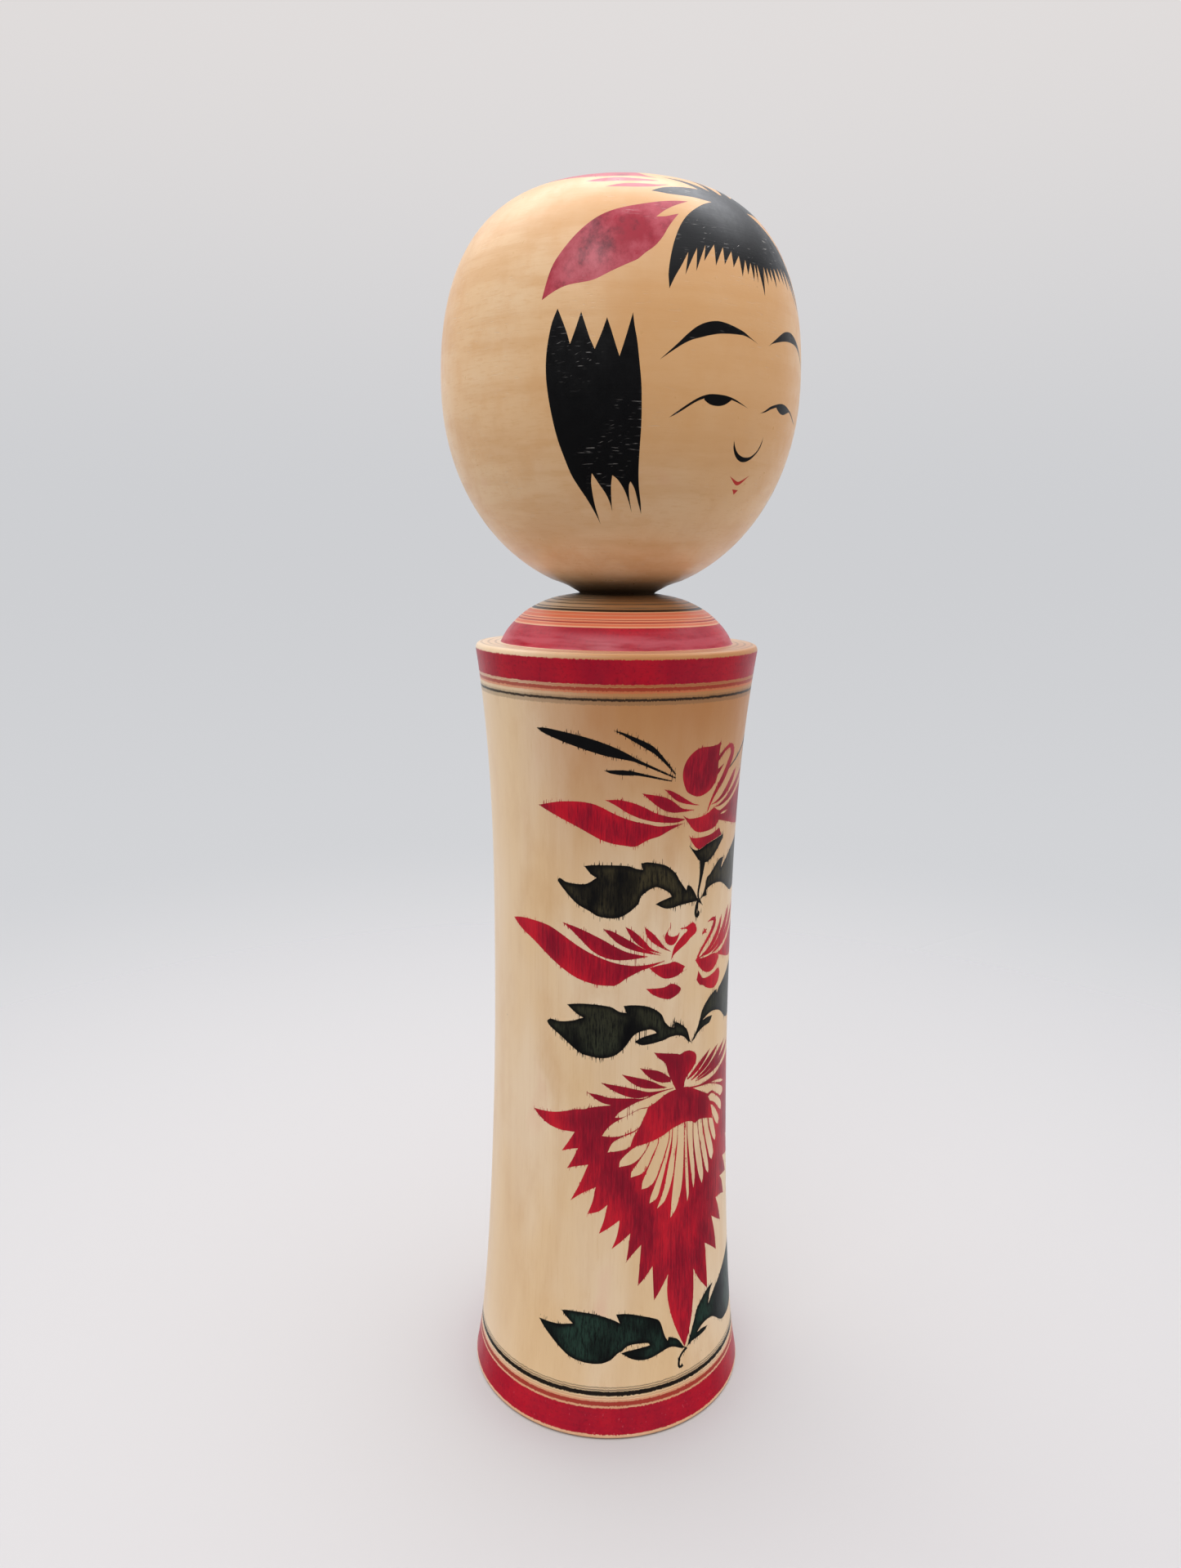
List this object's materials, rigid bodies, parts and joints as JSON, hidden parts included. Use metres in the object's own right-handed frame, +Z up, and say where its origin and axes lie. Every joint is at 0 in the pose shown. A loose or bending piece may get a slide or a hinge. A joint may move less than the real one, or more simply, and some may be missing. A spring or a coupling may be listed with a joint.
{
  "type": "kokeshi doll",
  "caption": "Turned wooden kokeshi doll with a waisted cylindrical body, a domed stepped shoulder, painted flowers and a rounded painted head that turns on its neck peg.",
  "frame": {"origin": "centre of the flat base, on the turning axis", "axes": "+Z up along the turning axis, face and flowers towards -Y, doll's left-hand side towards +X"},
  "size_m": [0.0852, 0.0852, 0.303],
  "materials": {
    "body_wood": "pale turned hardwood, water-based dye painting in red, black and dark green, thin wax coat",
    "head_wood": "pale turned hardwood, face and hair in black and red dye, burnished wax coat"
  },
  "bodies": {
    "body": {"body": "body_wood"},
    "head": {"head": "head_wood"}
  },
  "joints": [
    {"name": "head_turn", "type": "hinge", "parent": "body", "child": "head", "pos_m": [0, 0, 0.2025], "axis": [0, 0, 1], "continuous": true}
  ]
}
